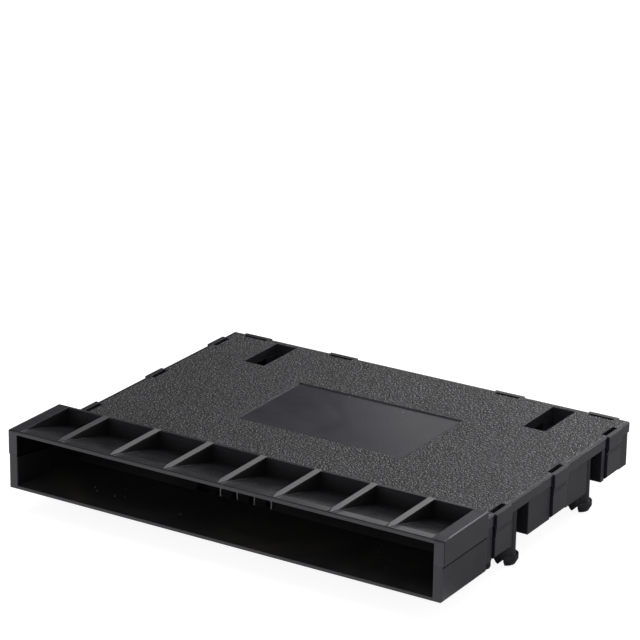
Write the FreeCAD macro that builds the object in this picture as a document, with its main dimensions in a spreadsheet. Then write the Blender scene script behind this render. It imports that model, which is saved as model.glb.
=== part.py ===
import FreeCAD, Part
import Sketcher
import math
import os

# Card reader socket for a printed circuit board: a base moulding, a top cover moulding,
# two rows of four spring contacts and a two-piece card switch.
# Working frame: X across the card mouth, Y into the socket from the front of the mouth,
# Z up from the flat underside of the base. The finished pieces are shifted together so that
# the tips of the tails lie on Z = 0 and the middle of the whole length lies on Y = 0.

# Driving sizes in millimetres.
SIZES = {
    # The card and the passage that it slides in.
    "card_width": 54.0,
    "card_side_clearance": 0.2,
    "card_stop": 47.5,
    "card_floor": 3.35,
    "passage_height": 1.25,
    # Walls around the passage.
    "side_wall": 3.57,
    "end_wall": 3.5,
    "plate_thickness": 1.38,
    "base_inset": 0.15,
    "floor_web": 1.3,
    # Bezel around the card mouth.
    "bezel_flange": 0.98,
    "bezel_depth": 10.9,
    "bezel_height": 7.85,
    "bezel_lower_inset": 0.12,
    "mouth_side_lip": 1.35,
    "mouth_top_lip": 0.5,
    "mouth_bottom_lip": 0.4,
    "ramp_rise": 1.2,
    "ramp_setback": 1.9,
    "throat_setback": 1.3,
    "floor_overrun": 0.1,
    "edge_round": 0.2,
    # Ribbed hollows in the top of the bezel.
    "hollow_side_wall": 1.85,
    "hollow_front": 1.9,
    "hollow_front_drop": 0.25,
    "hollow_back_wall": 0.5,
    "hollow_back_drop": 2.5,
    "lip_front": 0.3,
    "lip_drop": 0.08,
    "rib_pitch": 8.0,
    "rib_thickness": 0.9,
    # Snap tongues of the cover and the slots behind them.
    "tongue_half_width": 1.9,
    "tongue_gap": 0.28,
    "tongue_proud": 0.3,
    "tongue_low_proud": 0.14,
    "tongue_thickness": 0.66,
    "tongue_step_drop": 0.5,
    "tongue_band": 0.75,
    "tongue_end": 0.1,
    "tongue_chamfer": 0.3,
    "tongue_relief": 0.35,
    "tongue_relief_height": 1.2,
    "tongue_gap_roof": 0.25,
    "notch_depth": 0.92,
    "side_tongue_lead": 5.3,
    "side_tongue_tail": 4.62,
    "rear_tongue_x": 12.95,
    "rear_tongue_inset": 3.87,
    "rear_tongue_half_width": 2.15,
    "side_slot_half_length": 1.62,
    "side_slot_width": 0.7,
    "rear_slot_half_length": 1.78,
    "rear_slot_width": 0.6,
    # Windows and recessed panel in the cover plate.
    "window_inset": 7.57,
    "window_width": 3.25,
    "window_length": 8.4,
    "panel_half_width": 12.45,
    "panel_length": 15.55,
    "panel_setback": 11.95,
    "panel_depth": 0.15,
    # Lugs of the cover that close the rear wall of the base.
    "lug_thickness": 0.93,
    "lug_clearance": 0.1,
    "wall_lug_shift": 0.55,
    "wall_lug_width": 3.2,
    "wall_lug_height": 1.75,
    "comb_lug_left_margin": 2.15,
    "comb_lug_right_margin": 0.93,
    "comb_lug_height": 2.9,
    "step_lug_length": 8.4,
    "step_lug_height": 3.9,
    # Hollows in the underside of the base.
    "underside_web_setback": 16.15,
    "underside_web_half": 1.15,
    "pocket_front_lead": 6.0,
    "pocket_back_setback": 10.88,
    "deep_pocket_back_setback": 6.88,
    "narrow_pocket_inset": 5.37,
    "narrow_pocket_width": 5.2,
    "middle_pocket_gap": 1.65,
    "middle_pocket_width": 8.9,
    "wide_pocket_gap": 2.63,
    "wide_pocket_inset": 6.67,
    "patch_depth": 0.12,
    "patch_width": 6.15,
    "patch_length": 8.8,
    # Round blind holes in the underside.
    "hole_radius": 1.3,
    "hole_depth": 0.9,
    "side_hole_inset": 1.82,
    "side_hole_front_gap": 4.75,
    "side_hole_back_gap": 5.15,
    "corner_hole_inset": 2.67,
    "corner_hole_setback": 2.58,
    "bezel_hole_inset": 1.65,
    "bezel_hole_setback": 1.5,
    # Stand-off pads.
    "pad_height": 0.4,
    "pad_width": 1.5,
    "pad_root": 0.3,
    "long_pad_gap": 3.6,
    "long_pad_length": 11.0,
    "front_pad_lead": 2.2,
    "rear_pad_setback": 5.38,
    "tail_pad_length": 8.8,
    "tail_pad_lead": 3.05,
    "tail_pad_width": 1.25,
    "tail_pad_margin": 0.25,
    "small_pad_inset": 5.67,
    "small_pad_length": 2.1,
    "small_pad_lead": 2.9,
    "small_pad_setback": 2.53,
    # Split snap pegs and the bays that they stand in.
    "peg_inset": 2.02,
    "peg_lead": 10.4,
    "peg_pitch": 20.0,
    "peg_radius": 1.2,
    "peg_head_radius": 1.6,
    "peg_head_top": 2.1,
    "peg_head_rim": 0.6,
    "peg_tip_radius": 1.25,
    "peg_reach": 3.35,
    "peg_slot_width": 0.95,
    "peg_slot_roof": 1.5,
    "bay_inner_margin": 2.15,
    "bay_front_margin": 2.2,
    "bay_back_margin": 2.0,
    "bay_web": 0.6,
    # Locating pins.
    "pin_inset": 2.57,
    "pin_lead": 5.9,
    "pin_setback": 4.68,
    "pin_radius": 0.78,
    "pin_straight": 2.3,
    "pin_nose": 0.5,
    # Spring contacts.
    "contact_first": -6.95,
    "contact_pitch": 2.54,
    "contact_half_width": 0.3,
    "contact_thickness": 0.25,
    "front_column": 18.87,
    "rear_column": 11.25,
    "tail_reach": 3.6,
    "tail_taper": 0.45,
    "tail_tip_half": 0.06,
    "front_tail_lead": 0.9,
    "rear_tail_setback": 0.68,
    "front_strip_drop": 0.4,
    "rear_strip_drop": 0.9,
    "dome_rise": 0.6,
    "dome_half_length": 0.45,
    "dome_crown": 0.12,
    "tip_run": 1.15,
    "tip_drop": 0.75,
    "tip_skew": 0.2,
    "slot_length": 8.6,
    "front_slot_margin": 1.27,
    "rear_slot_margin": 3.9,
    "slot_half_width": 0.55,
    "bend_inset": 0.1,
    "groove_half_width": 0.4,
    # Opening for the front tails and comb for the rear tails.
    "tail_window_left_margin": 2.25,
    "tail_window_right_margin": 1.73,
    "tail_window_front": 1.8,
    "tail_window_back": 0.1,
    "tail_slot_half_width": 0.45,
    "tail_slot_margin": 0.4,
    "comb_margin": 0.85,
    "tooth_half_width": 0.63,
    "tooth_low": 0.25,
    "tooth_gap": 0.25,
    # Card switch.
    "switch_gap": 3.83,
    "switch_half_width": 0.25,
    "switch_thickness": 0.2,
    "leaf_tail_gap": 0.26,
    "switch_pocket_left": 0.8,
    "switch_pocket_right": 8.7,
    "switch_pocket_wall": 1.13,
    "switch_pocket_drop": 0.45,
    "chute_half_width": 0.4,
    "chute_margin": 0.15,
    "blade_lift": 0.15,
    "blade_headroom": 0.3,
    "fixed_blade_gap": 1.5,
    "fixed_blade_length": 7.7,
    "leaf_bend": 2.7,
    "leaf_peak": 4.5,
    "leaf_return": 6.1,
    "leaf_length": 8.1,
    "leaf_reach": 0.65,
    "leaf_end_gap": 0.55,
}

SIDE_TONGUES = 3
RIBS = 7
CONTACTS_PER_ROW = 4

doc = FreeCAD.newDocument("card_socket")
dims = doc.addObject("Spreadsheet::Sheet", "dims")
for row, (alias, size) in enumerate(SIZES.items(), 1):
    dims.set("A%d" % row, str(size))
    dims.setAlias("A%d" % row, alias)
doc.recompute()


class Length:
    """A length that knows both its number now and its formula in terms of the sheet."""

    def __init__(self, number, formula):
        self.number = float(number)
        self.formula = formula

    def __add__(self, other):
        other = length(other)
        return Length(self.number + other.number, "(%s + %s)" % (self.formula, other.formula))

    def __sub__(self, other):
        other = length(other)
        return Length(self.number - other.number, "(%s - %s)" % (self.formula, other.formula))

    def __mul__(self, factor):
        return Length(self.number * factor, "(%s * %s)" % (self.formula, factor))

    def __truediv__(self, divisor):
        return Length(self.number / divisor, "(%s / %s)" % (self.formula, divisor))

    def __neg__(self):
        return Length(-self.number, "(-1 * %s)" % self.formula)

    def __radd__(self, other):
        return length(other) + self

    def __rsub__(self, other):
        return length(other) - self


def length(amount):
    """A plain number as a length; a length as it is."""
    return amount if isinstance(amount, Length) else Length(amount, "(%s)" % amount)


class Sheet:
    """The driving sizes by name, each bound to its cell."""

    def __getattr__(self, alias):
        return Length(SIZES[alias], "dims." + alias)


s = Sheet()

# How far a cutting tool sticks out of what it cuts.
CLEAR = 1.0

# Places that follow from the driving sizes.
passage_half = s.card_width / 2 + s.card_side_clearance
plate_half = passage_half + s.side_wall
bezel_half = plate_half + s.bezel_flange
base_half = plate_half - s.base_inset
plate_back = s.card_stop + s.end_wall
base_back = plate_back - s.base_inset
parting = s.card_floor + s.passage_height
body_height = parting + s.plate_thickness
lug_front = plate_back - s.lug_thickness
mouth_half = bezel_half - s.mouth_side_lip
mouth_top = s.bezel_height - s.mouth_top_lip
throat = s.bezel_depth - s.throat_setback
tongue_inner_x = plate_half + s.tongue_proud - s.tongue_thickness
tongue_inner_y = plate_back + s.tongue_proud - s.tongue_thickness
tongue_step = parting - s.tongue_step_drop
side_tongue_first = s.bezel_depth + s.side_tongue_lead
side_tongue_pitch = (plate_back - s.side_tongue_tail - side_tongue_first) / (SIDE_TONGUES - 1)
rear_tongue_outer = plate_half - s.rear_tongue_inset
contact_last = s.contact_first + s.contact_pitch * (CONTACTS_PER_ROW - 1)
comb_lug_left = s.contact_first - s.comb_lug_left_margin
comb_lug_right = contact_last + s.comb_lug_right_margin
step_lug_right = comb_lug_right + s.step_lug_length
window_outer = plate_half - s.window_inset
window_inner = window_outer - s.window_width
wall_lug_inner = window_inner - s.wall_lug_shift
wall_lug_outer = wall_lug_inner + s.wall_lug_width
peg_x = plate_half - s.peg_inset
peg_front = s.bezel_depth + s.peg_lead
pin_x = plate_half - s.pin_inset
front_tail = s.bezel_depth + s.front_tail_lead
rear_tail = plate_back - s.rear_tail_setback
front_dome = s.card_stop - s.front_column
rear_dome = s.card_stop - s.rear_column
front_slot_back = front_dome + s.front_slot_margin
front_slot_front = front_slot_back - s.slot_length
rear_slot_front = rear_dome - s.rear_slot_margin
rear_slot_back = rear_slot_front + s.slot_length
front_strip = s.card_floor - s.front_strip_drop
rear_strip = s.card_floor - s.rear_strip_drop
underside_web = s.card_stop - s.underside_web_setback
pocket_depth = s.card_floor - s.floor_web
switch_x = contact_last + s.switch_gap
switch_floor = s.card_floor - s.switch_pocket_drop
leaf_tail = s.card_stop + s.leaf_tail_gap
blade_bottom = s.card_floor + s.blade_lift
blade_top = parting - s.blade_headroom


def box(name, x_low, x_high, y_low, y_high, z_low, z_high):
    """A box given by its six faces."""
    item = doc.addObject("Part::Box", name)
    item.setExpression("Placement.Base.x", length(x_low).formula)
    item.setExpression("Placement.Base.y", length(y_low).formula)
    item.setExpression("Placement.Base.z", length(z_low).formula)
    item.setExpression("Length", (length(x_high) - x_low).formula)
    item.setExpression("Width", (length(y_high) - y_low).formula)
    item.setExpression("Height", (length(z_high) - z_low).formula)
    return item


def rod(name, radius, x, y, z_low, z_high):
    """An upright cylinder."""
    item = doc.addObject("Part::Cylinder", name)
    item.setExpression("Radius", radius.formula)
    item.setExpression("Height", (length(z_high) - z_low).formula)
    item.setExpression("Placement.Base.x", length(x).formula)
    item.setExpression("Placement.Base.y", length(y).formula)
    item.setExpression("Placement.Base.z", length(z_low).formula)
    return item


def outline(body, name, role, offset, corners):
    """A closed sketch of straight lines on one of the body's origin planes."""
    sketch = body.newObject("Sketcher::SketchObject", name)
    plane = [item for item in body.Origin.OriginFeatures if item.Role == role][0]
    sketch.AttachmentSupport = [(plane, "")]
    sketch.MapMode = "FlatFace"
    sketch.setExpression("AttachmentOffset.Base.z", length(offset).formula)
    corners = [(length(across), length(along)) for across, along in corners]
    spots = [FreeCAD.Vector(across.number, along.number, 0) for across, along in corners]
    count = len(corners)
    for index in range(count):
        line = Part.LineSegment(spots[index], spots[(index + 1) % count])
        sketch.addGeometry(line, False)
    for index in range(count):
        following = (index + 1) % count
        sketch.addConstraint(Sketcher.Constraint("Coincident", index, 2, following, 1))
    for index, (across, along) in enumerate(corners):
        for kind, amount in (("DistanceX", across), ("DistanceY", along)):
            made = sketch.addConstraint(Sketcher.Constraint(kind, -1, 1, index, 1, amount.number))
            sketch.setExpression("Constraints[%d]" % made, amount.formula)
    return sketch


def profile(name, role, corners, start, end):
    """A straight-sided outline on an origin plane, padded from start to end.

    On the YZ plane a corner is (Y, Z) and the pad runs along X. On the XY plane a corner is
    (X, Y) and the pad runs along Z. On the XZ plane a corner is (X, Z) and the pad runs
    along Y; that plane faces the other way, so its offset is the far end with its sign changed.
    """
    body = doc.addObject("PartDesign::Body", name)
    offset = -length(end) if role == "XZ_Plane" else start
    sketch = outline(body, name + "_outline", role, offset, corners)
    pad = body.newObject("PartDesign::Pad", name + "_pad")
    pad.Profile = sketch
    pad.setExpression("Length", (length(end) - start).formula)
    return body


def turned(name, x, y, corners):
    """A half outline of (radius, Z) corners revolved about an upright axis at x, y."""
    body = doc.addObject("PartDesign::Body", name)
    sketch = outline(body, name + "_outline", "XZ_Plane", 0, corners)
    turn = body.newObject("PartDesign::Revolution", name + "_turn")
    turn.Profile = sketch
    turn.ReferenceAxis = (sketch, ["V_Axis"])
    turn.Angle = 360
    body.setExpression("Placement.Base.x", length(x).formula)
    body.setExpression("Placement.Base.y", length(y).formula)
    return body


def rounded(body, radius, chosen):
    """Round the edges of a padded body whose middle point passes the test."""
    doc.recompute()
    base = body.Tip
    names = []
    for index, edge in enumerate(base.Shape.Edges, 1):
        if chosen(edge, edge.CenterOfMass):
            names.append("Edge%d" % index)
    fillet = body.newObject("PartDesign::Fillet", body.Name + "_round")
    fillet.Base = (base, names)
    fillet.setExpression("Radius", radius.formula)
    return body


def join(name, items):
    item = doc.addObject("Part::MultiFuse", name)
    item.Shapes = items
    item.Refine = True
    return item


def remove(name, stock, tool):
    item = doc.addObject("Part::Cut", name)
    item.Base = stock
    item.Tool = tool
    item.Refine = True
    return item


def mirrored(name, source):
    """The same shape on the other side of the middle plane X = 0."""
    item = doc.addObject("Part::Mirroring", name)
    item.Source = source
    item.Normal = FreeCAD.Vector(1, 0, 0)
    item.Base = FreeCAD.Vector(0, 0, 0)
    return item


def near(a, b):
    return abs(a - b.number) < 1e-4


# The way of the card: a funnel mouth, then a flat passage up to the card stop.


def make_card_way():
    ramp_top = s.mouth_bottom_lip + s.ramp_rise
    side = profile("way_side", "YZ_Plane", [
        (-CLEAR, s.mouth_bottom_lip),
        (0, s.mouth_bottom_lip),
        (s.bezel_depth - s.ramp_setback, ramp_top),
        (s.bezel_depth + s.floor_overrun, s.card_floor),
        (s.card_stop, s.card_floor),
        (s.card_stop, parting),
        (throat, parting),
        (0, mouth_top),
        (-CLEAR, mouth_top)], -bezel_half, bezel_half)
    plan = profile("way_plan", "XY_Plane", [
        (-mouth_half, -CLEAR),
        (mouth_half, -CLEAR),
        (mouth_half, 0),
        (passage_half, throat),
        (passage_half, s.card_stop),
        (-passage_half, s.card_stop),
        (-passage_half, throat),
        (-mouth_half, 0)], 0, s.bezel_height)
    way = doc.addObject("Part::Common", "card_way")
    way.Base = side
    way.Tool = plan
    return way


card_way = make_card_way()


# Base moulding.


def slab(name, half, back, low, high):
    """A block of the given half width that runs back from the front of the bezel."""
    return profile(name, "XY_Plane", [(-half, 0), (half, 0), (half, back), (-half, back)],
                   low, high)


def make_base_stock():
    bezel_lower_half = bezel_half - s.bezel_lower_inset
    bezel = slab("bezel_lower", bezel_lower_half, s.bezel_depth, 0, parting)
    rounded(bezel, s.edge_round, lambda edge, at: (
        near(abs(at.x), bezel_lower_half) and not near(at.z, parting)))
    body = slab("body_lower", base_half, base_back, 0, parting)
    rounded(body, s.edge_round, lambda edge, at: (
        near(at.y, base_back) and near(abs(at.x), base_half)))
    return join("base_stock", [bezel, body])


def side_cuts():
    """Cuts that the base has on both sides alike, made for the right side."""
    cuts = []
    beyond = plate_half + CLEAR
    above = parting + CLEAR
    for index, label in enumerate(["front", "rear"]):
        middle = peg_front + s.peg_pitch * index
        front = middle - s.bay_front_margin
        back = middle + s.bay_back_margin
        cuts.append(box("peg_bay_" + label, peg_x - s.bay_inner_margin, beyond, front, back,
                        -CLEAR, parting - s.bay_web))
        cuts.append(box("peg_bay_mouth_" + label, peg_x + s.peg_radius, beyond, front, back,
                        parting / 2, above))
    reach = s.tongue_half_width + s.tongue_gap
    for index in range(SIDE_TONGUES):
        middle = side_tongue_first + side_tongue_pitch * index
        cuts.append(box("side_notch_%d" % (index + 1), base_half - s.notch_depth, beyond,
                        middle - reach, middle + reach, -CLEAR, above))
    reach = s.rear_tongue_half_width + s.tongue_gap
    for label, middle in (("inner", s.rear_tongue_x), ("outer", rear_tongue_outer)):
        cuts.append(box("rear_notch_" + label, middle - reach, middle + reach,
                        base_back - s.notch_depth, plate_back + CLEAR, -CLEAR, above))
    cuts.append(box("wall_lug_notch", wall_lug_inner - s.lug_clearance,
                    wall_lug_outer + s.lug_clearance, lug_front - s.lug_clearance,
                    plate_back + CLEAR, s.wall_lug_height - s.lug_clearance, above))
    cuts.append(box("window_recess", window_inner, window_outer, s.card_stop - CLEAR, lug_front,
                    s.card_floor, above))
    side_hole = plate_half - s.side_hole_inset
    corner_y = plate_back - s.corner_hole_setback
    for label, x, y in (
            ("side_front", side_hole, peg_front + s.side_hole_front_gap),
            ("side_back", side_hole, peg_front + s.peg_pitch - s.side_hole_back_gap),
            ("corner", plate_half - s.corner_hole_inset, corner_y),
            ("bezel", bezel_half - s.bezel_hole_inset, s.bezel_depth - s.bezel_hole_setback),
            ("rear", s.rear_tongue_x, corner_y)):
        cuts.append(rod("hole_" + label, s.hole_radius, x, y, -CLEAR, s.hole_depth))
    return join("right_side_cuts", cuts)


def pocket_cuts():
    """Six hollows between the webs of the underside, and one shallow patch."""
    narrow_left = s.narrow_pocket_inset - plate_half
    middle_right = s.contact_first - s.middle_pocket_gap
    wide_left = contact_last + s.wide_pocket_gap
    front = s.bezel_depth + s.pocket_front_lead
    back = plate_back - s.pocket_back_setback
    deep_back = plate_back - s.deep_pocket_back_setback
    web_front = underside_web - s.underside_web_half
    web_back = underside_web + s.underside_web_half
    spans = (
        ("narrow", narrow_left, narrow_left + s.narrow_pocket_width, back),
        ("middle", middle_right - s.middle_pocket_width, middle_right, deep_back),
        ("wide", wide_left, plate_half - s.wide_pocket_inset, back))
    cuts = []
    for label, left, right, rear_back in spans:
        cuts.append(box("pocket_%s_front" % label, left, right, front, web_front,
                        -CLEAR, pocket_depth))
        cuts.append(box("pocket_%s_rear" % label, left, right, web_back, rear_back,
                        -CLEAR, pocket_depth))
    patch_back = plate_back - s.corner_hole_setback + s.hole_radius / 2
    cuts.append(box("patch", -window_inner - s.patch_width, -window_inner,
                    patch_back - s.patch_length, patch_back, -CLEAR, s.patch_depth))
    return cuts


def contact_cuts():
    """Slots, grooves and tail slots for both rows of contacts."""
    cuts = []
    window_back = s.bezel_depth - s.tail_window_back
    for index in range(CONTACTS_PER_ROW):
        middle = s.contact_first + s.contact_pitch * index
        tag = str(index + 1)
        for label, half, front, back, low, high in (
                ("front_slot", s.slot_half_width, front_slot_front, front_slot_back,
                 -CLEAR, parting),
                ("rear_slot", s.slot_half_width, rear_slot_front, rear_slot_back,
                 -CLEAR, parting),
                ("front_groove", s.groove_half_width, window_back, front_slot_front + s.bend_inset,
                 front_strip, parting),
                ("rear_groove", s.groove_half_width, rear_slot_back - s.bend_inset,
                 lug_front + s.lug_clearance, rear_strip, parting + CLEAR),
                ("front_tail_slot", s.tail_slot_half_width, window_back - s.tail_slot_margin,
                 front_tail + s.tail_slot_margin, -CLEAR, parting)):
            cuts.append(box("%s_%s" % (label, tag), middle - half, middle + half,
                            front, back, low, high))
    cuts.append(box("tail_window", s.contact_first - s.tail_window_left_margin,
                    contact_last + s.tail_window_right_margin,
                    s.bezel_depth - s.tail_window_front, window_back, -CLEAR, s.card_floor))
    cuts.append(box("comb_opening", s.contact_first - s.comb_margin, comb_lug_right,
                    lug_front, plate_back + CLEAR, -CLEAR, s.comb_lug_height))
    for label, left, right, low in (
            ("comb", comb_lug_left - s.lug_clearance, comb_lug_right + s.lug_clearance,
             s.comb_lug_height),
            ("step", comb_lug_right, step_lug_right + s.lug_clearance, s.step_lug_height)):
        cuts.append(box(label + "_lug_notch", left, right, lug_front - s.lug_clearance,
                        plate_back + CLEAR, low - s.lug_clearance, parting + CLEAR))
    return cuts


def switch_cuts():
    """Pocket of the card switch and the two chutes that its tails pass through."""
    pocket_back = plate_back - s.switch_pocket_wall
    left = switch_x - s.chute_half_width
    right = switch_x + s.chute_half_width
    reach = s.switch_thickness / 2 + s.chute_margin
    return [
        box("switch_pocket", switch_x - s.switch_pocket_left, switch_x + s.switch_pocket_right,
            s.card_stop - CLEAR, pocket_back, switch_floor, parting + CLEAR),
        box("leaf_chute", left, right, leaf_tail - reach, leaf_tail + reach, -CLEAR, parting),
        box("fixed_chute", left, right, rear_tail - reach, rear_tail + reach,
            -CLEAR, blade_bottom),
        box("foot_slot", left, right, pocket_back - s.chute_margin, rear_tail + reach,
            switch_floor, blade_bottom)]


def obround_pad(name, x_low, x_high, y, width):
    """A raised pad with round ends, rooted a little way into the base."""
    half = width / 2
    bar = box(name + "_bar", x_low + half, x_high - half, y - half, y + half,
              -s.pad_height, s.pad_root)
    left = rod(name + "_left", half, x_low + half, y, -s.pad_height, s.pad_root)
    right = rod(name + "_right", half, x_high - half, y, -s.pad_height, s.pad_root)
    return join(name, [bar, left, right])


def pads():
    items = []
    long_left = contact_last + s.wide_pocket_gap + s.long_pad_gap
    for label, y in (("front", s.bezel_depth + s.front_pad_lead), ("middle", underside_web),
                     ("rear", plate_back - s.rear_pad_setback)):
        items.append(obround_pad("long_pad_" + label, long_left, long_left + s.long_pad_length,
                                 y, s.pad_width))
    tail_left = s.contact_first - s.tail_pad_margin
    items.append(obround_pad("tail_pad", tail_left, tail_left + s.tail_pad_length,
                             s.bezel_depth + s.tail_pad_lead, s.tail_pad_width))
    small_left = plate_half - s.small_pad_inset - s.small_pad_length / 2
    for label, y in (("front", s.bezel_depth + s.small_pad_lead),
                     ("rear", plate_back - s.small_pad_setback)):
        small = obround_pad("small_pad_" + label, small_left, small_left + s.small_pad_length,
                            y, s.pad_width)
        items.append(small)
        items.append(mirrored("small_pad_left_" + label, small))
    return items


def pegs():
    """Split snap pegs: a turned post with a barbed head, slotted so that its halves can close."""
    items = []
    rim_low = -s.peg_head_top - s.peg_head_rim
    for index, label in enumerate(["front", "rear"]):
        middle = peg_front + s.peg_pitch * index
        whole = turned("peg_whole_" + label, peg_x, middle, [
            (0, -s.peg_reach),
            (s.peg_tip_radius, -s.peg_reach),
            (s.peg_head_radius, rim_low),
            (s.peg_head_radius, -s.peg_head_top),
            (s.peg_radius, -s.peg_head_top),
            (s.peg_radius, parting - s.bay_web / 2),
            (0, parting - s.bay_web / 2)])
        slot = box("peg_slot_" + label, peg_x - s.peg_slot_width / 2,
                   peg_x + s.peg_slot_width / 2, middle - s.peg_head_radius * 2,
                   middle + s.peg_head_radius * 2, -s.peg_reach - CLEAR,
                   parting - s.peg_slot_roof)
        items.append(remove("peg_" + label, whole, slot))
    right = join("right_pegs", items)
    return [right, mirrored("left_pegs", right)]


def locating_pins():
    """Round-nosed pins, one at the front right and one at the rear left."""
    items = []
    nose_steps = 3
    for label, x, y in (("front", pin_x, s.bezel_depth + s.pin_lead),
                        ("rear", -pin_x, plate_back - s.pin_setback)):
        corners = [(0, s.pad_root), (0, -s.pin_straight - s.pin_nose)]
        for step in range(1, nose_steps + 1):
            angle = math.pi / 2 * step / nose_steps
            corners.append((s.pin_radius * math.sin(angle),
                            -s.pin_straight - s.pin_nose * math.cos(angle)))
        corners.append((s.pin_radius, s.pad_root))
        items.append(turned("pin_" + label, x, y, corners))
    return items


def comb_teeth():
    """Teeth that stand between the rear tails."""
    items = []
    for index in range(CONTACTS_PER_ROW - 1):
        middle = s.contact_first + s.contact_pitch * (index + 0.5)
        items.append(box("tooth_%d" % (index + 1), middle - s.tooth_half_width,
                         middle + s.tooth_half_width, lug_front - s.lug_clearance, base_back,
                         s.tooth_low, s.comb_lug_height - s.tooth_gap))
    return items


def make_base():
    right = side_cuts()
    cuts = [card_way, right, mirrored("left_side_cuts", right)]
    cuts += pocket_cuts() + contact_cuts() + switch_cuts()
    stock = remove("base_cut", make_base_stock(), join("base_cuts", cuts))
    return join("base_housing", [stock] + comb_teeth() + pads() + pegs() + locating_pins())


# Top cover moulding.


def hollows():
    """Row of hollows in the top of the bezel, with the ribs left standing between them."""
    half = bezel_half - s.hollow_side_wall
    back = s.bezel_depth - s.hollow_back_wall
    run = profile("hollow_run", "YZ_Plane", [
        (s.lip_front, s.bezel_height + CLEAR),
        (s.lip_front, s.bezel_height - s.lip_drop),
        (s.hollow_front, s.bezel_height - s.hollow_front_drop),
        (back, s.bezel_height - s.hollow_back_drop),
        (back, s.bezel_height + CLEAR)], -half, half)
    ribs = []
    for index in range(RIBS):
        middle = s.rib_pitch * (index - (RIBS - 1) / 2)
        ribs.append(box("rib_%d" % (index + 1), middle - s.rib_thickness / 2,
                        middle + s.rib_thickness / 2, -CLEAR, s.bezel_depth, 0,
                        s.bezel_height + CLEAR * 2))
    return remove("hollows", run, join("ribs", ribs))


def make_cover_stock():
    bezel = slab("bezel_upper", bezel_half, s.bezel_depth, parting, s.bezel_height)
    rounded(bezel, s.edge_round, lambda edge, at: (
        (near(abs(at.x), bezel_half) or near(at.z, s.bezel_height)) and not near(at.z, parting)))
    plate = slab("cover_plate", plate_half, plate_back, parting, body_height)
    rounded(plate, s.edge_round, lambda edge, at: (
        not near(at.z, parting) and at.y > s.bezel_depth.number))
    root = parting + s.plate_thickness / 2
    wall_lug = box("wall_lug", wall_lug_inner, wall_lug_outer, lug_front, base_back,
                   s.wall_lug_height, root)
    return join("cover_stock", [
        bezel, plate, wall_lug, mirrored("wall_lug_left", wall_lug),
        box("comb_lug", comb_lug_left, comb_lug_right, lug_front, plate_back,
            s.comb_lug_height, root),
        box("step_lug", comb_lug_right, step_lug_right, lug_front, plate_back,
            s.step_lug_height, root)])


def tongue_relief_cuts():
    """Slots through the plate behind each tongue, and the gaps at its two sides."""
    cuts = []
    below = parting - CLEAR
    above = body_height + CLEAR
    roof = body_height - s.tongue_gap_roof
    half = s.tongue_half_width
    for index in range(SIDE_TONGUES):
        middle = side_tongue_first + side_tongue_pitch * index
        tag = str(index + 1)
        cuts.append(box("side_slot_" + tag, tongue_inner_x - s.side_slot_width, tongue_inner_x,
                        middle - s.side_slot_half_length, middle + s.side_slot_half_length,
                        below, above))
        for label, near_end in (("front", -half - s.tongue_gap), ("back", half)):
            cuts.append(box("side_gap_%s_%s" % (label, tag), tongue_inner_x, plate_half + CLEAR,
                            middle + near_end, middle + near_end + s.tongue_gap, below, roof))
    half = s.rear_tongue_half_width
    for tag, middle in (("inner", s.rear_tongue_x), ("outer", rear_tongue_outer)):
        cuts.append(box("rear_slot_cover_" + tag, middle - s.rear_slot_half_length,
                        middle + s.rear_slot_half_length, tongue_inner_y - s.rear_slot_width,
                        tongue_inner_y, below, above))
        for label, near_end in (("near", -half - s.tongue_gap), ("far", half)):
            cuts.append(box("rear_gap_%s_%s" % (label, tag), middle + near_end,
                            middle + near_end + s.tongue_gap, tongue_inner_y,
                            plate_back + CLEAR, below, roof))
    cuts.append(box("cover_window", window_inner, window_outer, lug_front - s.window_length,
                    lug_front, below, above))
    return join("right_cover_cuts", cuts)


def tongue_leg(name, role, inner, outer, start, end):
    """The leg below a tongue's root: a sloping band, then a flat face with a chamfered end."""
    low = outer + s.tongue_low_proud
    return profile(name, role, [
        (inner, s.tongue_end),
        (low - s.tongue_chamfer, s.tongue_end),
        (low, s.tongue_end + s.tongue_chamfer),
        (low, tongue_step - s.tongue_band),
        (outer, tongue_step),
        (outer, tongue_step + s.tongue_gap),
        (inner, tongue_step + s.tongue_gap)], start, end)


def tongues():
    """Snap tongues of one side and of one half of the rear."""
    items = []
    for index in range(SIDE_TONGUES):
        middle = side_tongue_first + side_tongue_pitch * index
        tag = str(index + 1)
        front = middle - s.tongue_half_width
        back = middle + s.tongue_half_width
        items.append(box("side_root_" + tag, tongue_inner_x, plate_half + s.tongue_proud,
                         front, back, tongue_step, body_height))
        leg = tongue_leg("side_leg_" + tag, "XZ_Plane", tongue_inner_x, plate_half, front, back)
        relief = profile("side_relief_" + tag, "YZ_Plane", [
            (front - s.tongue_gap, tongue_step - s.tongue_relief_height),
            (front, tongue_step - s.tongue_relief_height),
            (front + s.tongue_relief, tongue_step),
            (front - s.tongue_gap, tongue_step)], tongue_inner_x - CLEAR, plate_half + CLEAR)
        items.append(remove("side_leg_cut_" + tag, leg, relief))
    for label, middle in (("inner", s.rear_tongue_x), ("outer", rear_tongue_outer)):
        left = middle - s.rear_tongue_half_width
        right = middle + s.rear_tongue_half_width
        items.append(box("rear_root_" + label, left, right, tongue_inner_y,
                         plate_back + s.tongue_proud, tongue_step, body_height))
        items.append(tongue_leg("rear_leg_" + label, "YZ_Plane", tongue_inner_y, plate_back,
                                left, right))
    return join("right_tongues", items)


def make_cover():
    right_cuts = tongue_relief_cuts()
    panel_back = plate_back - s.panel_setback
    panel = box("panel_recess", -s.panel_half_width, s.panel_half_width,
                panel_back - s.panel_length, panel_back, body_height - s.panel_depth,
                body_height + CLEAR)
    cuts = join("cover_cuts", [card_way, hollows(), right_cuts,
                               mirrored("left_cover_cuts", right_cuts), panel])
    right = tongues()
    plate = remove("cover_cut", make_cover_stock(), cuts)
    return join("top_cover", [plate, right, mirrored("left_tongues", right)])


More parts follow.
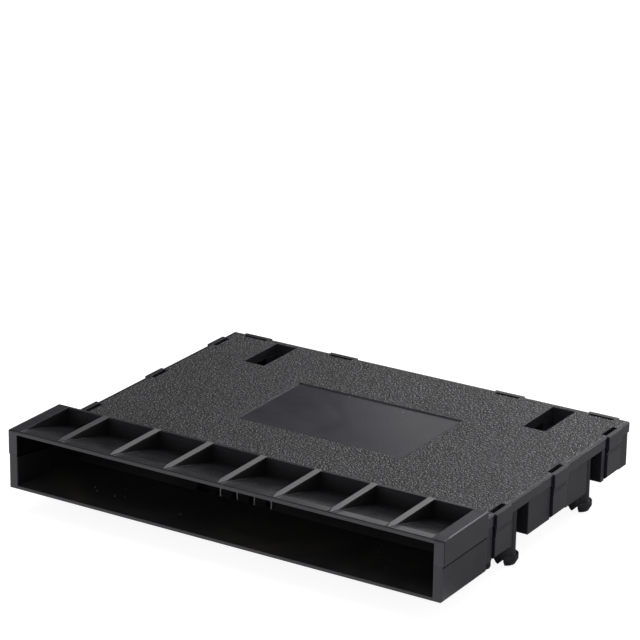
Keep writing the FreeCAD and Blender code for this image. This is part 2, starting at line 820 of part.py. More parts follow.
# Spring contacts: a tail through the base, a strip along it and a sprung, domed beam.


def spring_contact(name, index, tail, strip, root, dome, way):
    """One stamping. The strip runs backwards from its tail when way is 1, forwards when -1."""
    middle = s.contact_first + s.contact_pitch * index
    half = s.contact_thickness / 2
    dome_top = s.card_floor + s.dome_rise
    shoulder = dome_top - s.dome_crown
    tip = dome + (s.tip_run * way)
    return profile(name, "YZ_Plane", [
        (tail - s.tail_tip_half * way, -s.tail_reach),
        (tail - half * way, s.tail_taper - s.tail_reach),
        (tail - half * way, strip + s.contact_thickness),
        (root, strip + s.contact_thickness),
        (dome - s.dome_half_length * way, shoulder),
        (dome, dome_top),
        (dome + s.dome_half_length * way, shoulder),
        (tip, dome_top - s.tip_drop),
        (tip - s.tip_skew * way, dome_top - s.tip_drop - s.tip_skew / 2),
        (dome + s.dome_half_length * way, shoulder - s.contact_thickness),
        (dome, dome_top - s.contact_thickness),
        (dome - s.dome_half_length * way, shoulder - s.contact_thickness),
        (root, strip),
        (tail + half * way, strip),
        (tail + half * way, s.tail_taper - s.tail_reach),
        (tail + s.tail_tip_half * way, -s.tail_reach)],
        middle - s.contact_half_width, middle + s.contact_half_width)


def make_contacts():
    items = []
    front_root = front_slot_front + s.bend_inset
    rear_root = rear_slot_back - s.bend_inset
    for index in range(CONTACTS_PER_ROW):
        tag = str(index + 1)
        items.append(spring_contact("front_contact_" + tag, index, front_tail, front_strip,
                                    front_root, front_dome, 1))
        items.append(spring_contact("rear_contact_" + tag, index, rear_tail, rear_strip,
                                    rear_root, rear_dome, -1))
    return items


# Card switch: a bent leaf that the card pushes back against a fixed blade.


def switch_tail(name, y, top):
    """Flat tail with a tapered tip."""
    half = s.switch_thickness / 2
    return profile(name, "YZ_Plane", [
        (y - s.tail_tip_half, -s.tail_reach),
        (y + s.tail_tip_half, -s.tail_reach),
        (y + half, s.tail_taper - s.tail_reach),
        (y + half, top),
        (y - half, top),
        (y - half, s.tail_taper - s.tail_reach)],
        switch_x - s.switch_half_width, switch_x + s.switch_half_width)


def make_switch():
    half = s.switch_thickness / 2
    left = switch_x - s.switch_half_width
    right = switch_x + s.switch_half_width
    bends = [
        (left, leaf_tail),
        (switch_x + s.leaf_bend, leaf_tail),
        (switch_x + s.leaf_peak, s.card_stop - s.leaf_reach),
        (switch_x + s.leaf_return, leaf_tail),
        (switch_x + s.leaf_length, s.card_stop + s.leaf_end_gap)]
    corners = [(x, y - half) for x, y in bends] + [(x, y + half) for x, y in reversed(bends)]
    leaf = join("switch_leaf", [
        profile("leaf_run", "XY_Plane", corners, blade_bottom, blade_top),
        box("leaf_foot", left, switch_x + s.switch_half_width * 3, leaf_tail - half,
            leaf_tail + half, switch_floor, blade_top),
        switch_tail("leaf_tail", leaf_tail, blade_bottom)])
    front = s.card_stop + s.fixed_blade_gap
    foot_top = switch_floor + s.switch_thickness
    blade = join("switch_blade", [
        box("fixed_blade", left, switch_x + s.fixed_blade_length, front,
            front + s.switch_thickness, blade_bottom, blade_top),
        box("fixed_riser", left, right, front, front + s.switch_thickness, switch_floor,
            blade_top),
        box("fixed_foot", left, right, front, rear_tail + half, switch_floor, foot_top),
        switch_tail("fixed_tail", rear_tail, foot_top)])
    return [leaf, blade]


finished = [make_base(), make_cover()] + make_contacts() + make_switch()

# All pieces move together to the frame of the whole socket.
for item in finished:
    item.setExpression("Placement.Base.y", (-(plate_back + s.tongue_proud) / 2).formula)
    item.setExpression("Placement.Base.z", s.tail_reach.formula)
doc.recompute()

for item in doc.Objects:
    if "Invalid" in item.State or "Error" in item.State:
        raise RuntimeError("%s did not build: %s" % (item.Name, item.State))

os.makedirs("parts", exist_ok=True)
for item in finished:
    item.Label = item.Name
    shape = item.Shape
    if shape.isNull() or not shape.isValid() or len(shape.Solids) != 1:
        raise RuntimeError("%s is not one valid solid" % item.Name)
    shape.exportStep("parts/%s.step" % item.Name)
    print("%-16s volume %9.3f mm3  box %s" % (item.Name, shape.Volume, shape.BoundBox))
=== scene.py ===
"""Smart card socket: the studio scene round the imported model.

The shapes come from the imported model. This script gives each piece its finish: black moulded plastic
with a pebbled top, satin sides and a smooth panel, tin plated contacts and gold plated switch parts.
Then come the floor, the surroundings, the lamps and the camera.
"""

import bpy
from mathutils import Matrix, Vector

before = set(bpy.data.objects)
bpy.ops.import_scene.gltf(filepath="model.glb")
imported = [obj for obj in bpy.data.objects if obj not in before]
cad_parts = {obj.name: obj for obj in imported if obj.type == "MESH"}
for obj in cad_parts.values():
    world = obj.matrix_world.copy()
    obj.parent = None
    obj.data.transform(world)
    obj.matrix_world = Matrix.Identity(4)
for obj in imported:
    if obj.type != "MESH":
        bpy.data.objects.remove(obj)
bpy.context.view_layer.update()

MM = 0.001

# Heights of the socket's faces, in metres above the tips of the tails.
BASE_UNDERSIDE = 3.6 * MM
PARTING = 8.2 * MM
PLATE_TOP = 9.58 * MM
BEZEL_TOP = 11.45 * MM

# Places along the socket's depth.
MOUTH_FRONT = -25.65 * MM
BEZEL_BACK = -14.75 * MM
PLATE_REAR = 25.0 * MM

# Distances from the middle to either side.
PLATE_SIDE = 30.3 * MM
MOUTH_SIDE = 30.35 * MM
HOLLOW_SIDE = 30.4 * MM

# Pitch of the ribs on the bezel. One rib stands in the middle.
RIB_PITCH = 8.0 * MM

# The plastic's reflection is slightly cool, and its edges are lightened grey: partly wear, partly a
# painted highlight.
PLASTIC_REFLECTION = (0.95, 0.93, 1.0, 1)
EDGE_HIGHLIGHT_AND_WEAR = (0.1, 0.1, 0.102, 1)

# Tin and gold plating, bright and stained.
BRIGHT_TIN = (0.86, 0.855, 0.84, 1)
STAINED_TIN = (0.5, 0.49, 0.47, 1)
BRIGHT_GOLD = (0.86, 0.63, 0.27, 1)
STAINED_GOLD = (0.55, 0.38, 0.15, 1)

# Dust lying on the mouth's floor: place across, place along and radius in millimetres, then strength.
FLOOR_DUST = (
    (-21.2, -21.5, 0.13, 0.30),
    (-20.4, -22.2, 0.12, 0.32),
    (-17.6, -22.3, 0.13, 0.34),
    (-17.4, -20.2, 0.10, 0.22),
    (-16.3, -21.9, 0.10, 0.20),
    (-7.5, -22.4, 0.28, 0.06),
    (-1.1, -19.8, 0.10, 0.10),
    (15.8, -17.5, 0.10, 0.09),
    (18.9, -17.9, 0.11, 0.10),
    (19.3, -19.5, 0.12, 0.12),
    (21.9, -22.3, 0.11, 0.10),
)

# Lamps: name, place, point looked at, width and height in millimetres, then power in watts.
LAMPS = (
    ("top_softbox", (40, -40, 520), (0, 0, 8), 420, 420, 0.95),
    ("rear_softbox", (-40, 400, 430), (0, 0, 8), 400, 280, 0.58),
    ("rear_left_panel", (-105, 300, 90), (-105, 0, 90), 130, 118, 0.033),
    ("rear_right_panel", (108, 300, 90), (108, 0, 90), 286, 118, 0.42),
)

# Camera, fitted to the photograph: focal length and film width, place in millimetres, and its three axes.
LENS = 168.8719
FILM_WIDTH = 36.0
CAMERA_PLACE = (185.9377, -306.5219, 152.9153)
CAMERA_RIGHT = (0.850397, 0.525924, 0.015120)
CAMERA_UP = (-0.188991, 0.278518, 0.941653)
CAMERA_BACK = (0.491027, -0.803637, 0.336246)


# Helpers for node trees


def feed(tree, socket, value):
    """Gives a socket a value, or links it to another node's output."""
    if isinstance(value, bpy.types.NodeSocket):
        tree.links.new(value, socket)
    else:
        socket.default_value = value


def put(tree, kind, settings=None, **inputs):
    """Adds one shader node, with its settings and the values of its sockets by name."""
    made = tree.nodes.new("ShaderNode" + kind)
    for name, value in (settings or {}).items():
        setattr(made, name, value)
    for name, value in inputs.items():
        feed(tree, made.inputs[name.replace("_", " ")], value)
    return made


def calc(tree, operation, *values):
    """One Math node."""
    made = put(tree, "Math", {"operation": operation})
    for socket, value in zip(made.inputs, values):
        feed(tree, socket, value)
    return made.outputs[0]


def product(tree, first, *others):
    """Multiplies two or more values."""
    for other in others:
        first = calc(tree, "MULTIPLY", first, other)
    return first


def ramp(tree, value, low, high, to_low=0.0, to_high=1.0):
    """A soft step from to_low to to_high as the value goes from low to high."""
    made = put(
        tree,
        "MapRange",
        {"interpolation_type": "SMOOTHSTEP"},
        Value=value,
        From_Min=low,
        From_Max=high,
        To_Min=to_low,
        To_Max=to_high,
    )
    return made.outputs["Result"]


def between(tree, value, low, high, edge):
    """1 where the value lies from low to high, with soft edges."""
    rise = ramp(tree, value, low - edge, low + edge)
    fall = ramp(tree, value, high - edge, high + edge, 1.0, 0.0)
    return product(tree, rise, fall)


def tint(tree, share, first, second):
    """Mixes two colours by a share from 0 to 1."""
    made = put(tree, "Mix", {"data_type": "RGBA"})
    feed(tree, made.inputs[0], share)
    feed(tree, made.inputs[6], first)
    feed(tree, made.inputs[7], second)
    return made.outputs[2]


def shade(tree, share, first, second):
    """Mixes two numbers by a share from 0 to 1."""
    made = put(tree, "Mix", {"data_type": "FLOAT"})
    feed(tree, made.inputs[0], share)
    feed(tree, made.inputs[2], first)
    feed(tree, made.inputs[3], second)
    return made.outputs[0]


def layers(tree, colour, *coats):
    """Lays coats over a colour, each with its share from 0 to 1 and its own colour."""
    for share, coat in coats:
        colour = tint(tree, share, colour, coat)
    return colour


def new_group(name, inputs, outputs):
    """A shader group with named number inputs and outputs; returns it with its inner sockets."""
    group = bpy.data.node_groups.new(name, "ShaderNodeTree")
    for label, value in inputs.items():
        socket = group.interface.new_socket(name=label, in_out="INPUT", socket_type="NodeSocketFloat")
        socket.default_value = value
    for label, kind in outputs.items():
        group.interface.new_socket(name=label, in_out="OUTPUT", socket_type="NodeSocket" + kind)
    given = group.nodes.new("NodeGroupInput").outputs
    result = group.nodes.new("NodeGroupOutput").inputs
    return group, given, result


def use(tree, group, **inputs):
    """Places a group in a tree with its own values; returns its outputs."""
    made = tree.nodes.new("ShaderNodeGroup")
    made.node_tree = group
    for name, value in inputs.items():
        feed(tree, made.inputs[name.replace("_", " ")], value)
    return made.outputs


def own_place(tree):
    """The piece's own coordinates, in metres."""
    return put(tree, "TexCoord").outputs["Object"]


def split(tree, vector):
    """A vector's parts by name: X, Y and Z."""
    return put(tree, "SeparateXYZ", Vector=vector).outputs


def facing(tree):
    """Which way a face looks, as parts: Z is 1 on top, 0 on the sides and -1 underneath."""
    return split(tree, put(tree, "NewGeometry").outputs["True Normal"])


def per(tree, size):
    """The scale that makes a texture's features about as large as the size."""
    return calc(tree, "DIVIDE", 1.0, size)


# Effects that more than one finish uses


def make_pebble_group():
    """The leathery grain of the cover's plate: soft pads with winding creases between them."""
    group, given, result = new_group(
        "pebbled_grain",
        {"Cell Size": 0.0005, "Wander": 1.6},
        {"Height": "Float", "Tone": "Float"},
    )
    place = own_place(group)
    scale = per(group, given["Cell Size"])
    slow = put(group, "TexNoise", Vector=place, Scale=product(group, scale, 0.8), Detail=2.0)
    offset = put(group, "VectorMath", {"operation": "SUBTRACT"})
    feed(group, offset.inputs[0], slow.outputs["Color"])
    offset.inputs[1].default_value = (0.5, 0.5, 0.5)
    push = put(group, "VectorMath", {"operation": "SCALE"})
    feed(group, push.inputs[0], offset.outputs[0])
    feed(group, push.inputs["Scale"], product(group, given["Cell Size"], given["Wander"]))
    moved = put(group, "VectorMath", {"operation": "ADD"})
    feed(group, moved.inputs[0], place)
    feed(group, moved.inputs[1], push.outputs[0])
    pads = put(
        group, "TexVoronoi", {"feature": "DISTANCE_TO_EDGE"}, Vector=moved.outputs[0], Scale=scale
    )
    fine = put(
        group, "TexNoise", Vector=moved.outputs[0], Scale=product(group, scale, 1.9), Detail=2.0
    )
    height = shade(group, 0.45, ramp(group, pads.outputs["Distance"], 0.0, 0.3), fine.outputs[0])
    feed(group, result["Height"], height)
    feed(group, result["Tone"], ramp(group, height, 0.18, 0.66))
    return group


def make_satin_group():
    """The finely eroded surface that the mould leaves on the smooth faces, with slow flow marks."""
    group, given, result = new_group(
        "satin_moulding",
        {"Grain Size": 0.0001, "Flow Size": 0.006},
        {"Height": "Float", "Gloss": "Float"},
    )
    place = own_place(group)
    grain = put(group, "TexNoise", Vector=place, Scale=per(group, given["Grain Size"]), Detail=2.0)
    flow = put(
        group,
        "TexNoise",
        Vector=place,
        Scale=per(group, given["Flow Size"]),
        Detail=3.0,
        Distortion=0.6,
    )
    feed(group, result["Height"], grain.outputs[0])
    feed(group, result["Gloss"], ramp(group, flow.outputs[0], 0.3, 0.7))
    return group


def make_edge_group():
    """Rounded edges: a normal that turns over each edge, a mask of the edges and one of the nooks."""
    group, given, result = new_group(
        "moulded_edges",
        {"Radius": 0.00012, "Reach": 0.0005},
        {"Normal": "Vector", "Edge": "Float", "Nook": "Float"},
    )
    turned = put(group, "Bevel", {"samples": 6}, Radius=given["Radius"])
    flat = put(group, "NewGeometry").outputs["True Normal"]
    match = put(group, "VectorMath", {"operation": "DOT_PRODUCT"})
    feed(group, match.inputs[0], turned.outputs[0])
    feed(group, match.inputs[1], flat)
    open_air = put(group, "AmbientOcclusion", {"samples": 6}, Distance=given["Reach"]).outputs["AO"]
    bare = ramp(group, open_air, 0.75, 0.98)
    turn = ramp(group, match.outputs["Value"], 0.999, 0.86)
    feed(group, result["Normal"], turned.outputs[0])
    feed(group, result["Edge"], product(group, turn, bare))
    feed(group, result["Nook"], ramp(group, open_air, 0.9, 0.4))
    return group


def make_haze_group():
    """The thin whitish bloom and wiped dust that lies on black moulded plastic in soft clouds."""
    group, given, result = new_group(
        "plastic_bloom",
        {"Cloud Size": 0.007, "Cover": 0.5},
        {"Amount": "Float"},
    )
    clouds = put(
        group,
        "TexNoise",
        Vector=own_place(group),
        Scale=per(group, given["Cloud Size"]),
        Detail=5.0,
        Roughness=0.6,
        Distortion=0.8,
    )
    low = calc(group, "SUBTRACT", 0.8, given["Cover"])
    high = calc(group, "ADD", low, 0.35)
    feed(group, result["Amount"], ramp(group, clouds.outputs[0], low, high))
    return group


def make_dust_group():
    """A few tiny specks of dust."""
    group, given, result = new_group(
        "dust_specks",
        {"Spacing": 0.002, "Rarity": 0.93},
        {"Speck": "Float"},
    )
    cells = put(
        group,
        "TexVoronoi",
        Vector=own_place(group),
        Scale=per(group, given["Spacing"]),
        Randomness=1.0,
    )
    chance = put(group, "SeparateColor", Color=cells.outputs["Color"]).outputs[0]
    chosen = calc(group, "GREATER_THAN", chance, given["Rarity"])
    round_spot = ramp(group, cells.outputs["Distance"], 0.04, 0.09, 1.0, 0.0)
    feed(group, result["Speck"], product(group, chosen, round_spot))
    return group


pebbled_grain = make_pebble_group()
satin_moulding = make_satin_group()
moulded_edges = make_edge_group()
plastic_bloom = make_haze_group()
dust_specks = make_dust_group()


# Finishes


def new_material(name):
    """An empty material with a Principled surface."""
    made = bpy.data.materials.new(name)
    made.use_nodes = True
    tree = made.node_tree
    tree.nodes.clear()
    skin = put(tree, "BsdfPrincipled")
    end = put(tree, "OutputMaterial")
    tree.links.new(skin.outputs[0], end.inputs["Surface"])
    return made, tree, skin


def dress(tree, skin, relief, normal, **sockets):
    """Feeds the named sockets of a Principled surface, and the relief on the rounded normal."""
    for name, value in sockets.items():
        feed(tree, skin.inputs[name.replace("_", " ")], value)
    bump = put(tree, "Bump", Height=relief, Distance=1.0, Normal=normal)
    feed(tree, skin.inputs["Normal"], bump.outputs[0])


def cover_zones(tree, spot, faces):
    """Masks of the cover's places: each is 1 there and 0 elsewhere."""
    across, along, height = spot["X"], spot["Y"], spot["Z"]
    up = ramp(tree, faces["Z"], 0.6, 0.95)
    level = between(tree, height, PLATE_TOP - 0.08 * MM, PLATE_TOP + 0.08 * MM, 0.02 * MM)
    behind = ramp(tree, along, BEZEL_BACK - 0.1 * MM, BEZEL_BACK + 0.1 * MM)
    zones = {}
    zones["plate"] = product(
        tree,
        up,
        level,
        behind,
        between(tree, across, -PLATE_SIDE, PLATE_SIDE, 0.1 * MM),
        ramp(tree, along, PLATE_REAR - 0.1 * MM, PLATE_REAR + 0.1 * MM, 1.0, 0.0),
    )
    zones["panel"] = product(tree, behind, up, calc(tree, "SUBTRACT", 1.0, level))
    zones["outer"] = ramp(
        tree, calc(tree, "ABSOLUTE", across), PLATE_SIDE - 0.1 * MM, PLATE_SIDE + 0.2 * MM
    )

    # The ribs taper towards the mouth.
    from_rib = calc(tree, "PINGPONG", across, RIB_PITCH / 2)
    rib_half = ramp(tree, along, MOUTH_FRONT + 0.3 * MM, MOUTH_FRONT + 2.0 * MM, 0.15 * MM, 0.5 * MM)
    zones["rib"] = product(
        tree,
        ramp(tree, calc(tree, "SUBTRACT", from_rib, rib_half), -0.05 * MM, 0.05 * MM, 1.0, 0.0),
        up,
        calc(tree, "SUBTRACT", 1.0, behind),
        ramp(tree, height, BEZEL_TOP - 0.4 * MM, BEZEL_TOP - 0.2 * MM),
        ramp(tree, along, MOUTH_FRONT + 0.2 * MM, MOUTH_FRONT + 0.6 * MM),
    )

    # Ceiling and ramps of the mouth, where painted shade goes.
    ceiling = ramp(tree, faces["Z"], -0.6, -0.2, 1.0, 0.0)
    zones["inside"] = product(
        tree,
        calc(tree, "MAXIMUM", ceiling, between(tree, faces["Y"], -0.5, -0.15, 0.02)),
        ramp(tree, along, MOUTH_FRONT + 0.05 * MM, MOUTH_FRONT + 0.15 * MM),
    )

    # Hollows between the ribs: their upright walls, and painted shade in their deep corners and on the
    # ribs' right sides.
    hollow = product(
        tree,
        between(tree, along, MOUTH_FRONT + 0.9 * MM, BEZEL_BACK + 0.02 * MM, 0.03 * MM),
        between(tree, across, -HOLLOW_SIDE, HOLLOW_SIDE, 0.05 * MM),
        ramp(tree, height, BEZEL_TOP - 0.3 * MM, BEZEL_TOP - 0.1 * MM, 1.0, 0.0),
    )
    upright = ramp(tree, calc(tree, "ABSOLUTE", faces["Z"]), 0.3, 0.6, 1.0, 0.0)
    zones["wall"] = product(tree, hollow, upright)
    open_air = put(tree, "AmbientOcclusion", {"samples": 6}, Distance=5 * MM).outputs["AO"]
    zones["deep"] = calc(
        tree,
        "MAXIMUM",
        product(tree, hollow, ramp(tree, open_air, 0.2, 0.75, 0.8, 0.0)),
        product(tree, zones["wall"], ramp(tree, faces["X"], 0.5, 0.8, 0.0, 0.85)),
    )
    return zones


def make_cover_plastic():
    """Black plastic of the upper moulding: pebbled plate, smooth panel, satin bezel."""
    made, tree, skin = new_material("cover_black_plastic")
    spot = split(tree, own_place(tree))
    faces = facing(tree)
    zones = cover_zones(tree, spot, faces)

    pebble = use(tree, pebbled_grain, Cell_Size=0.5 * MM, Wander=1.6)
    satin = use(tree, satin_moulding, Grain_Size=0.1 * MM, Flow_Size=5 * MM)
    edges = use(tree, moulded_edges, Radius=0.12 * MM, Reach=0.5 * MM)
    bloom = use(tree, plastic_bloom, Cloud_Size=6 * MM, Cover=0.45)
    dust = use(tree, dust_specks, Spacing=2.2 * MM, Rarity=0.93)

    warm_black = (0.0132, 0.0128, 0.0148, 1)
    cool_black = (0.0146, 0.0132, 0.0195, 1)
    crease_black = (0.0042, 0.0041, 0.0040, 1)
    pad_black = (0.0198, 0.0195, 0.0191, 1)
    cool = calc(tree, "MAXIMUM", zones["outer"], zones["panel"])
    smooth_black = tint(tree, cool, warm_black, cool_black)
    pebbled_black = tint(tree, pebble["Tone"], crease_black, pad_black)
    # The rib tops get a painted highlight with some wear, fainter at the far left.
    rib_highlight_and_wear = product(tree, zones["rib"], ramp(tree, spot["X"], -24 * MM, -15 * MM, 0.4, 0.88))
    colour = layers(
        tree,
        tint(tree, zones["plate"], smooth_black, pebbled_black),
        (rib_highlight_and_wear, (0.165, 0.165, 0.168, 1)),
        (product(tree, bloom["Amount"], 0.12), (0.07, 0.074, 0.08, 1)),
        # Edges lightened grey: partly wear, partly a painted highlight.
        (product(tree, edges["Edge"], 0.2), EDGE_HIGHLIGHT_AND_WEAR),
        (product(tree, dust["Speck"], 0.35), (0.35, 0.35, 0.34, 1)),
        # Painted shade: near black in the hollows' deep corners and on the ribs' right sides.
        (zones["deep"], (0.003, 0.003, 0.003, 1)),
        # Painted shade: near black over the mouth's ceiling and ramps.
        (zones["inside"], (0.0028, 0.0027, 0.0026, 1)),
    )

    smooth_rough = shade(tree, satin["Gloss"], 0.2, 0.27)
    pebbled_rough = shade(tree, pebble["Tone"], 0.5, 0.38)
    rough = shade(tree, zones["wall"], shade(tree, zones["plate"], smooth_rough, pebbled_rough), 0.55)
    rough = calc(tree, "ADD", rough, product(tree, edges["Edge"], 0.25))

    shine = shade(tree, zones["plate"], 0.5, shade(tree, pebble["Tone"], 0.3, 0.9))
    rounded = product(tree, zones["outer"], between(tree, faces["Z"], 0.2, 0.93, 0.05))
    quiet = product(tree, calc(tree, "MAXIMUM", rounded, edges["Edge"]), 0.7)
    dim = calc(tree, "MAXIMUM", zones["deep"], product(tree, zones["wall"], 0.4))
    shine = shade(tree, quiet, shine, 0.05)
    shine = shade(tree, dim, shine, 0.1)
    shine = shade(tree, zones["inside"], shine, 0.03)

    relief = calc(
        tree,
        "ADD",
        product(tree, pebble["Height"], 0.16 * MM, zones["plate"]),
        product(tree, satin["Height"], 0.002 * MM),
    )
    dress(
        tree,
        skin,
        relief,
        edges["Normal"],
        Base_Color=colour,
        Roughness=rough,
        Specular_IOR_Level=shine,
        Specular_Tint=PLASTIC_REFLECTION,
    )
    return made


def lay_floor_dust(tree, colour, spot, faces):
    """The specks that lie on the mouth's floor, over a colour."""
    flat = put(tree, "CombineXYZ", X=spot["X"], Y=spot["Y"]).outputs[0]
    upward = ramp(tree, faces["Z"], 0.8, 0.95)
    for across, along, radius, strength in FLOOR_DUST:
        apart = put(tree, "VectorMath", {"operation": "DISTANCE"})
        feed(tree, apart.inputs[0], flat)
        apart.inputs[1].default_value = (across * MM, along * MM, 0.0)
        speck = ramp(tree, apart.outputs["Value"], 0.4 * radius * MM, radius * MM, strength, 0.0)
        colour = tint(tree, product(tree, speck, upward), colour, (0.75, 0.75, 0.72, 1))
    return colour


def make_base_plastic():
    """Black plastic of the lower moulding: satin sides, a mouth painted near black as painted shade,
    cloudy underside.
    """
    made, tree, skin = new_material("base_black_plastic")
    spot = split(tree, own_place(tree))
    faces = facing(tree)
    side = calc(tree, "ABSOLUTE", faces["X"])
    down = ramp(tree, product(tree, faces["Z"], -1.0), 0.6, 0.95)
    # Inside the mouth the plastic is painted near black: painted shade, darkest on the walls.
    mouth = product(
        tree,
        between(tree, spot["Y"], MOUTH_FRONT + 0.1 * MM, BEZEL_BACK + 0.6 * MM, 0.05 * MM),
        between(tree, spot["X"], -MOUTH_SIDE, MOUTH_SIDE, 0.05 * MM),
        ramp(tree, spot["Z"], BASE_UNDERSIDE + 0.25 * MM, BASE_UNDERSIDE + 0.4 * MM),
        ramp(tree, faces["Z"], -0.3, -0.1),
    )
    # A near black band on the sides just under the parting line: painted shadow under the cover's edge.
    parting_shadow = product(
        tree,
        between(tree, spot["Z"], PARTING - 0.24 * MM, PARTING + 0.1 * MM, 0.03 * MM),
        ramp(tree, side, 0.7, 0.95),
        ramp(tree, spot["Y"], BEZEL_BACK, BEZEL_BACK + 0.1 * MM, 1.0, 0.0),
    )

    satin = use(tree, satin_moulding, Grain_Size=0.1 * MM, Flow_Size=6 * MM)
    edges = use(tree, moulded_edges, Radius=0.12 * MM, Reach=0.5 * MM)
    bloom = use(tree, plastic_bloom, Cloud_Size=9 * MM, Cover=0.4)
    dust = use(tree, dust_specks, Spacing=1.8 * MM, Rarity=0.9)

    warm_black = (0.0100, 0.0097, 0.0116, 1)
    cool_black = (0.0112, 0.0103, 0.0155, 1)
    shaded_floor_black = (0.0095, 0.0092, 0.0098, 1)
    mouth_hazy = (0.0180, 0.0170, 0.0150, 1)
    shaded_wall_black = (0.0045, 0.0043, 0.0046, 1)
    clouded = product(tree, bloom["Amount"], shade(tree, down, 0.03, 0.8))
    shaded_floor_with_bloom = tint(tree, bloom["Amount"], shaded_floor_black, mouth_hazy)
    colour = layers(
        tree,
        tint(tree, side, warm_black, cool_black),
        (clouded, (0.15, 0.152, 0.156, 1)),
        # Edges lightened grey: partly wear, partly a painted highlight.
        (product(tree, edges["Edge"], 0.2), EDGE_HIGHLIGHT_AND_WEAR),
        (product(tree, dust["Speck"], 0.4), (0.4, 0.4, 0.38, 1)),
        # Painted shade in the mouth, with whitish clouds on its floor.
        (mouth, tint(tree, ramp(tree, faces["Z"], 0.3, 0.8), shaded_wall_black, shaded_floor_with_bloom)),
        # Painted shadow under the parting line.
        (parting_shadow, (0.001, 0.001, 0.001, 1)),
    )
    colour = lay_floor_dust(tree, colour, spot, faces)

    rough = shade(tree, satin["Gloss"], 0.36, 0.46)
    rough = shade(tree, calc(tree, "MAXIMUM", clouded, mouth), rough, 0.6)
    matt = calc(tree, "MAXIMUM", parting_shadow, product(tree, mouth, 0.8))
    shine = shade(tree, matt, shade(tree, down, 0.5, 0.22), 0.0)
    dress(
        tree,
        skin,
        product(tree, satin["Height"], 0.002 * MM),
        edges["Normal"],
        Base_Color=colour,
        Roughness=rough,
        Specular_IOR_Level=shine,
        Specular_Tint=PLASTIC_REFLECTION,
    )
    return made


def make_plating(name, bright, dull, low_rough, high_rough):
    """Metal plating on a stamped strip: streaks along it, soft stains, and a matt skin in the mouth."""
    made, tree, skin = new_material(name)
    place = own_place(tree)
    spot = split(tree, place)
    squeezed = put(tree, "Mapping", Vector=place, Scale=(6000.0, 1500.0, 500.0))
    streaks = put(tree, "TexNoise", Vector=squeezed.outputs[0], Scale=1.0, Detail=3.0).outputs[0]
    stains = put(tree, "TexNoise", Vector=place, Scale=500.0, Detail=3.0, Distortion=0.5).outputs[0]
    edges = use(tree, moulded_edges, Radius=0.05 * MM, Reach=0.4 * MM)
    in_mouth = product(
        tree,
        ramp(tree, spot["Z"], BASE_UNDERSIDE + 0.2 * MM, BASE_UNDERSIDE + 0.6 * MM),
        ramp(tree, spot["Y"], BEZEL_BACK + 2 * MM, BEZEL_BACK + 3 * MM, 1.0, 0.0),
    )
    colour = layers(
        tree,
        bright,
        (product(tree, ramp(tree, stains, 0.4, 0.7), 0.4), dull),
        (product(tree, edges["Nook"], 0.15), dull),
    )
    rough = shade(tree, ramp(tree, streaks, 0.3, 0.7), low_rough, high_rough)
    dress(
        tree,
        skin,
        product(tree, streaks, 0.001 * MM),
        edges["Normal"],
        Base_Color=colour,
        Roughness=shade(tree, in_mouth, rough, 0.6),
        Metallic=shade(tree, in_mouth, 1.0, 0.25),
    )
    return made


cover_plastic = make_cover_plastic()
base_plastic = make_base_plastic()
tin_plating = make_plating("tin_plating", BRIGHT_TIN, STAINED_TIN, 0.14, 0.26)
gold_plating = make_plating("gold_plating", BRIGHT_GOLD, STAINED_GOLD, 0.2, 0.36)


def finish_piece(name, material):
    """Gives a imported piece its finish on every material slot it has."""
    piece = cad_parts[name]
    if not piece.material_slots:
        piece.data.materials.append(material)
    for slot in piece.material_slots:
        slot.material = material


finish_piece("top_cover", cover_plastic)
finish_piece("base_housing", base_plastic)
for number in range(1, 5):
    finish_piece("front_contact_%d" % number, tin_plating)
    finish_piece("rear_contact_%d" % number, tin_plating)
finish_piece("switch_leaf", gold_plating)
finish_piece("switch_blade", gold_plating)


# Studio


def seen_by_camera(tree):
    """1 for what the camera sees, straight or through something clear, and all kinds of ray by name."""
    paths = put(tree, "LightPath").outputs
    return calc(tree, "MAXIMUM", paths["Is Camera Ray"], paths["Is Transmission Ray"]), paths


def make_floor():
    """A pale floor that reads white to the camera and keeps a soft shadow."""
    mesh = bpy.data.meshes.new("floor")
    far = 1.5
    corners = [(-far, -far, 0), (far, -far, 0), (far, far, 0), (-far, far, 0)]
    mesh.from_pydata(corners, [], [(0, 1, 2, 3)])
    floor = bpy.data.objects.new("floor", mesh)
    bpy.context.scene.collection.objects.link(floor)
    made = bpy.data.materials.new("pale_floor")
    made.use_nodes = True
    tree = made.node_tree
    tree.nodes.clear()
    seen, paths = seen_by_camera(tree)
    place = own_place(tree)
    spot = split(tree, place)

    # For the socket's reflections only, the floor glows in front of the mouth and slightly on the right:
    # a painted reflection.
    front = ramp(tree, spot["Y"], -22 * MM, -14 * MM, 0.9, 0.0)
    beside = ramp(tree, spot["X"], 33 * MM, 45 * MM, 0.0, 0.03)
    reflection_only_glow = product(tree, paths["Is Glossy Ray"], calc(tree, "MAXIMUM", front, beside))
    seen_glow = 0.9
    veil = put(tree, "TexNoise", Vector=place, Scale=30.0, Detail=2.0).outputs[0]
    paper = tint(tree, veil, (0.32, 0.32, 0.325, 1), (0.35, 0.35, 0.35, 1))
    matt = put(tree, "BsdfDiffuse", Color=paper)
    glow = put(tree, "Emission", Strength=shade(tree, seen, reflection_only_glow, seen_glow))
    both = put(tree, "AddShader")
    tree.links.new(matt.outputs[0], both.inputs[0])
    tree.links.new(glow.outputs[0], both.inputs[1])
    tree.links.new(both.outputs[0], put(tree, "OutputMaterial").inputs["Surface"])
    floor.data.materials.append(made)


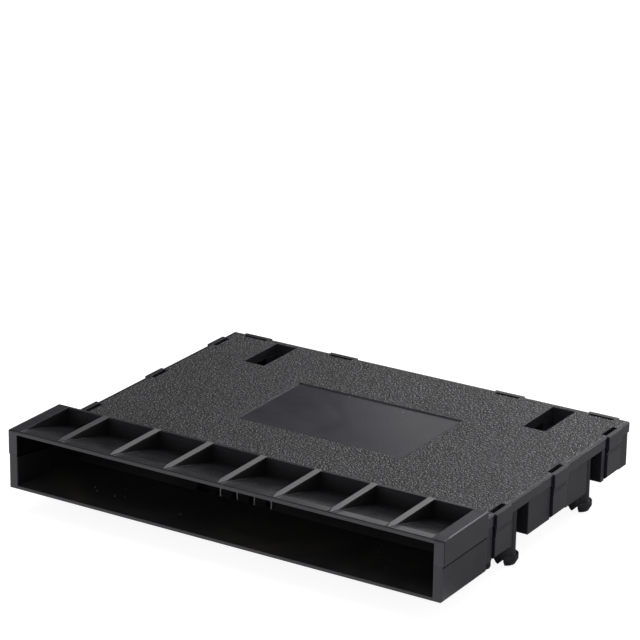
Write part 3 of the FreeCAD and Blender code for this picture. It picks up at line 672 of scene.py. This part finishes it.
def make_surroundings():
    """White to the camera. To the object it is a grey studio, darker on the left, with a low bright front
    that is strongest on the left.
    """
    world = bpy.data.worlds.new("studio")
    bpy.context.scene.world = world
    world.use_nodes = True
    tree = world.node_tree
    tree.nodes.clear()
    seen, _ = seen_by_camera(tree)
    way = split(tree, put(tree, "TexCoord").outputs["Generated"])
    right = ramp(tree, way["X"], -0.7, 0.7, 0.07, 0.4)
    overhead = ramp(tree, way["Z"], 0.2, 1.0, 0.0, 0.35)
    ahead = product(
        tree,
        ramp(tree, way["Z"], 0.3, 0.75, 1.0, 0.0),
        ramp(tree, way["Y"], -0.75, -0.35, 1.05, 0.0),
        ramp(tree, way["X"], -0.8, 0.4, 1.4, 0.6),
    )
    light = calc(tree, "ADD", calc(tree, "ADD", right, overhead), ahead)
    sky = put(tree, "Background", Color=(1, 1, 1, 1), Strength=shade(tree, seen, light, 1.0))
    tree.links.new(sky.outputs[0], put(tree, "OutputWorld").inputs["Surface"])


def add_softbox(name, place, target, width, height, power):
    """A rectangular lamp that looks at a point. Places and sizes are in millimetres, power in watts."""
    lamp = bpy.data.lights.new(name, "AREA")
    lamp.shape = "RECTANGLE"
    lamp.size = width * MM
    lamp.size_y = height * MM
    lamp.energy = power
    box = bpy.data.objects.new(name, lamp)
    box.location = Vector(place) * MM
    box.rotation_mode = "QUATERNION"
    box.rotation_quaternion = (Vector(target) - Vector(place)).to_track_quat("-Z", "Y")
    box.visible_camera = False
    bpy.context.scene.collection.objects.link(box)


def make_camera():
    """A long lens at the photograph's viewing angle, right of the mouth and above it."""
    lens = bpy.data.cameras.new("camera")
    lens.sensor_width = FILM_WIDTH
    lens.lens = LENS
    lens.clip_start = 0.01
    lens.clip_end = 20.0
    camera = bpy.data.objects.new("camera", lens)
    turn = Matrix((CAMERA_RIGHT, CAMERA_UP, CAMERA_BACK)).transposed().to_4x4()
    camera.matrix_world = Matrix.Translation(Vector(CAMERA_PLACE) * MM) @ turn
    bpy.context.scene.collection.objects.link(camera)
    bpy.context.scene.camera = camera


make_floor()
make_surroundings()
for lamp_row in LAMPS:
    add_softbox(*lamp_row)
make_camera()

view = bpy.context.scene.view_settings
view.view_transform = "Standard"
